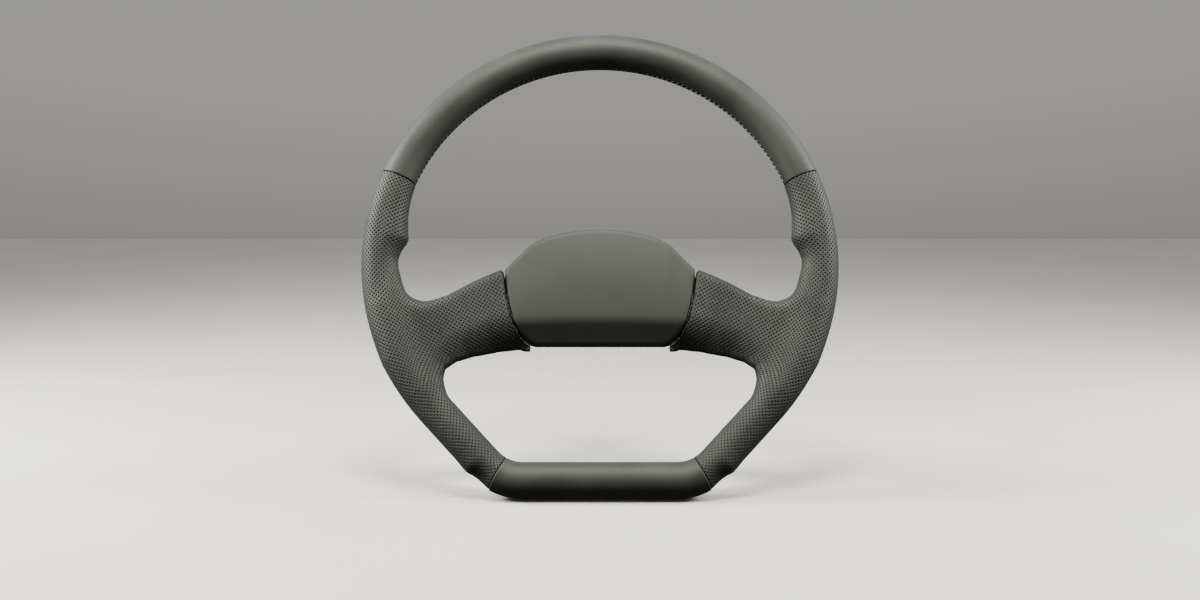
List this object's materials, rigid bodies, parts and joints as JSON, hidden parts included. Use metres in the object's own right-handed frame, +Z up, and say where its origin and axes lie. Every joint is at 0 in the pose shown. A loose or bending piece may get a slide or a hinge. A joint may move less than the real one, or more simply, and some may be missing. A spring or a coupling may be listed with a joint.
{
  "type": "quick release steering wheel",
  "caption": "Flat-bottomed, leather-trimmed steering wheel with a central horn pad, on a splined ball-lock quick release hub.",
  "frame": {"origin": "centre of the column bore's mouth, at the back end of the quick release adapter", "axes": "Y along the steering axis with +Y towards the column, so the driver is on the -Y side; +Z up through the rim's top; +X to the driver's right"},
  "size_m": [0.44, 0.1466, 0.4391],
  "materials": {
    "leather_smooth": "matte smooth leather, fine grain",
    "leather_perforated": "matte leather with a close pattern of punched holes",
    "thread": "bonded polyester thread",
    "pad_skin": "soft-touch matte skin",
    "foam": "dense moulded polyurethane",
    "plastic": "moulded, lightly textured",
    "cast_aluminium": "die cast, matt",
    "machined_aluminium": "turned and clear anodised",
    "anodised_collar": "anodised, satin",
    "zinc_steel": "bright zinc plated",
    "spring_steel": "drawn wire",
    "bearing_steel": "polished",
    "black_steel": "black oxide",
    "contact_brass": "bright",
    "wire_jacket": "PVC insulation"
  },
  "bodies": {
    "column": {"column_adapter": "zinc_steel", "contact_socket": "plastic", "socket_sleeve": "contact_brass"},
    "wheel": {"hub_body": "machined_aluminium", "collar_stop_ring": "spring_steel", "collar_spring": "spring_steel", "contact_bush": "plastic", "contact_pin": "contact_brass", "hub_screws": "black_steel", "spoke_armature": "cast_aluminium", "rim_rod": "zinc_steel", "rim_foam": "foam", "leather_top": "leather_smooth", "leather_left": "leather_perforated", "leather_right": "leather_perforated", "leather_bottom": "leather_smooth", "rim_stitching": "thread", "rear_cover": "plastic", "cover_screws": "zinc_steel", "horn_base": "plastic", "horn_base_screws": "zinc_steel", "fixed_contacts": "contact_brass", "horn_wire": "wire_jacket", "guide_posts": "zinc_steel", "horn_springs": "spring_steel"},
    "pad": {"moving_contact": "contact_brass", "contact_rivets": "zinc_steel", "pad_frame": "plastic", "horn_pad": "pad_skin"},
    "collar": {"lock_collar": "anodised_collar"},
    "ball_1": {"lock_ball_1": "bearing_steel"},
    "ball_2": {"lock_ball_2": "bearing_steel"},
    "ball_3": {"lock_ball_3": "bearing_steel"},
    "ball_4": {"lock_ball_4": "bearing_steel"},
    "ball_5": {"lock_ball_5": "bearing_steel"},
    "ball_6": {"lock_ball_6": "bearing_steel"}
  },
  "joints": [
    {"name": "wheel_release", "type": "slide", "parent": "column", "child": "wheel", "axis": [0, -1, 0], "range_m": [0, 0.048]},
    {"name": "collar_pull", "type": "slide", "parent": "wheel", "child": "collar", "axis": [0, -1, 0], "range_m": [0, 0.008], "stiffness_N_per_m": 1500, "springref_m": -0.006, "deforming": ["collar_spring"]},
    {"name": "horn_press", "type": "slide", "parent": "wheel", "child": "pad", "axis": [0, 1, 0], "range_m": [0, 0.002], "stiffness_N_per_m": 5000, "springref_m": -0.001, "deforming": ["horn_springs"]},
    {"name": "ball_1_lift", "type": "slide", "parent": "wheel", "child": "ball_1", "axis": [0.9659, 0, 0.2588], "range_m": [0, 0.0022]},
    {"name": "ball_2_lift", "type": "slide", "parent": "wheel", "child": "ball_2", "axis": [0.2588, 0, 0.9659], "range_m": [0, 0.0022]},
    {"name": "ball_3_lift", "type": "slide", "parent": "wheel", "child": "ball_3", "axis": [-0.7071, 0, 0.7071], "range_m": [0, 0.0022]},
    {"name": "ball_4_lift", "type": "slide", "parent": "wheel", "child": "ball_4", "axis": [-0.9659, 0, -0.2588], "range_m": [0, 0.0022]},
    {"name": "ball_5_lift", "type": "slide", "parent": "wheel", "child": "ball_5", "axis": [-0.2588, 0, -0.9659], "range_m": [0, 0.0022]},
    {"name": "ball_6_lift", "type": "slide", "parent": "wheel", "child": "ball_6", "axis": [0.7071, 0, -0.7071], "range_m": [0, 0.0022]}
  ],
  "couplings": [
    {"joint": "ball_1_lift", "follows": "collar_pull", "ratio": 0.26875},
    {"joint": "ball_2_lift", "follows": "collar_pull", "ratio": 0.26875},
    {"joint": "ball_3_lift", "follows": "collar_pull", "ratio": 0.26875},
    {"joint": "ball_4_lift", "follows": "collar_pull", "ratio": 0.26875},
    {"joint": "ball_5_lift", "follows": "collar_pull", "ratio": 0.26875},
    {"joint": "ball_6_lift", "follows": "collar_pull", "ratio": 0.26875}
  ]
}
